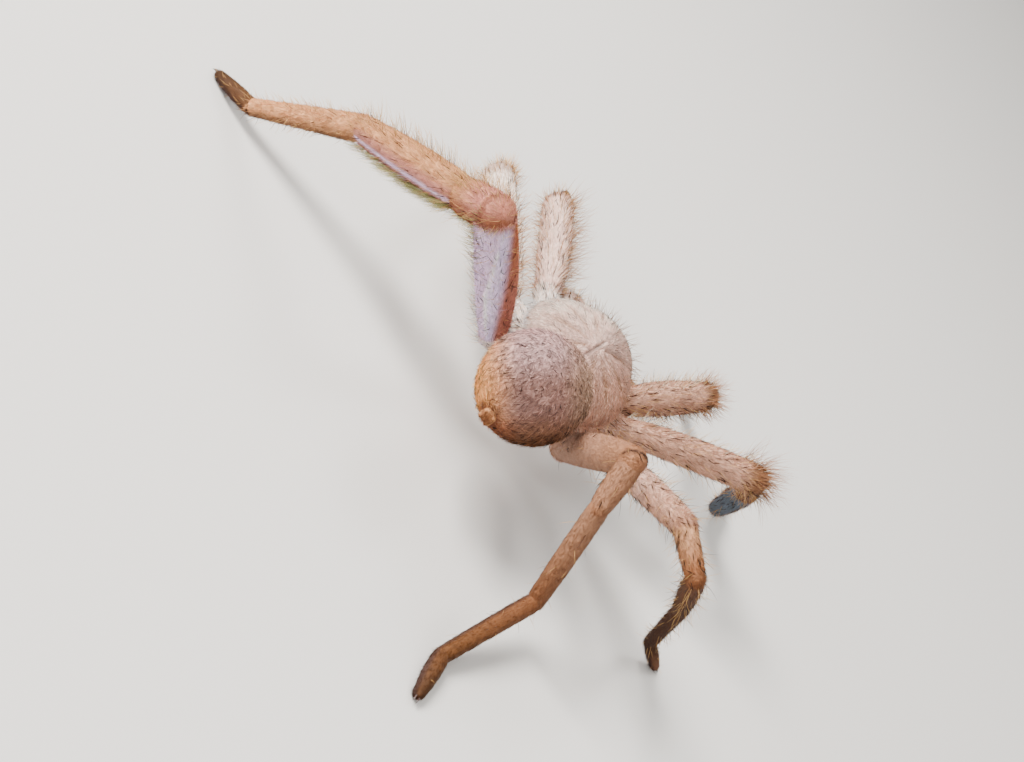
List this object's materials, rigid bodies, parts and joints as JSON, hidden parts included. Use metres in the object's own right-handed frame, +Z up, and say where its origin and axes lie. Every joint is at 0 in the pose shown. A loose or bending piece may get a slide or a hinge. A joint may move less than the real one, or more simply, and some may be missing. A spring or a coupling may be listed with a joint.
{
  "type": "huntsman spider",
  "caption": "Life-size still model of a pale, bristly huntsman spider standing with its front legs swept forward",
  "frame": {"origin": "on the ground, under the middle of the box round the whole spider", "axes": "-Y the way the spider looks, +X its left side, +Z up from the ground"},
  "size_m": [0.0556, 0.0606, 0.0157],
  "materials": {
    "carapace": "pale cream-pink short velvet hair over cuticle, dark line in the middle",
    "abdomen": "grey-mauve short mixed hair, orange-brown at the rear",
    "legs": "cream-beige to pinkish tan short hair with erect bristles",
    "feet": "dark red-brown dense brush of short hair",
    "chelicerae": "brown cuticle with sparse hair",
    "spinnerets": "orange-brown, pale at the tips",
    "eyes": "glossy black lens",
    "fangs": "glossy dark brown-black horn"
  },
  "bodies": {
    "root": {"abdomen": "abdomen", "cephalothorax": "carapace", "chelicera_left": "chelicerae", "chelicera_right": "chelicerae", "eye_front_middle_left": "eyes", "eye_front_middle_right": "eyes", "eye_front_side_left": "eyes", "eye_front_side_right": "eyes", "eye_rear_middle_left": "eyes", "eye_rear_middle_right": "eyes", "eye_rear_side_left": "eyes", "eye_rear_side_right": "eyes", "fang_left": "fangs", "fang_right": "fangs", "leg_left_1_coxa": "legs", "leg_left_1_femur": "legs", "leg_left_1_metatarsus": "legs", "leg_left_1_tarsus": "feet", "leg_left_1_tibia": "legs", "leg_left_2_coxa": "legs", "leg_left_2_femur": "legs", "leg_left_2_metatarsus": "legs", "leg_left_2_tarsus": "feet", "leg_left_2_tibia": "legs", "leg_left_3_coxa": "legs", "leg_left_3_femur": "legs", "leg_left_3_metatarsus": "legs", "leg_left_3_tarsus": "feet", "leg_left_3_tibia": "legs", "leg_left_4_coxa": "legs", "leg_left_4_femur": "legs", "leg_left_4_metatarsus": "legs", "leg_left_4_tarsus": "feet", "leg_left_4_tibia": "legs", "leg_right_1_coxa": "legs", "leg_right_1_femur": "legs", "leg_right_1_metatarsus": "legs", "leg_right_1_tarsus": "feet", "leg_right_1_tibia": "legs", "leg_right_2_coxa": "legs", "leg_right_2_femur": "legs", "leg_right_2_metatarsus": "legs", "leg_right_2_tarsus": "feet", "leg_right_2_tibia": "legs", "leg_right_3_coxa": "legs", "leg_right_3_femur": "legs", "leg_right_3_metatarsus": "legs", "leg_right_3_tarsus": "feet", "leg_right_3_tibia": "legs", "leg_right_4_coxa": "legs", "leg_right_4_femur": "legs", "leg_right_4_metatarsus": "legs", "leg_right_4_tarsus": "feet", "leg_right_4_tibia": "legs", "palp_left": "legs", "palp_right": "legs", "spinnerets": "spinnerets"}
  },
  "joints": []
}
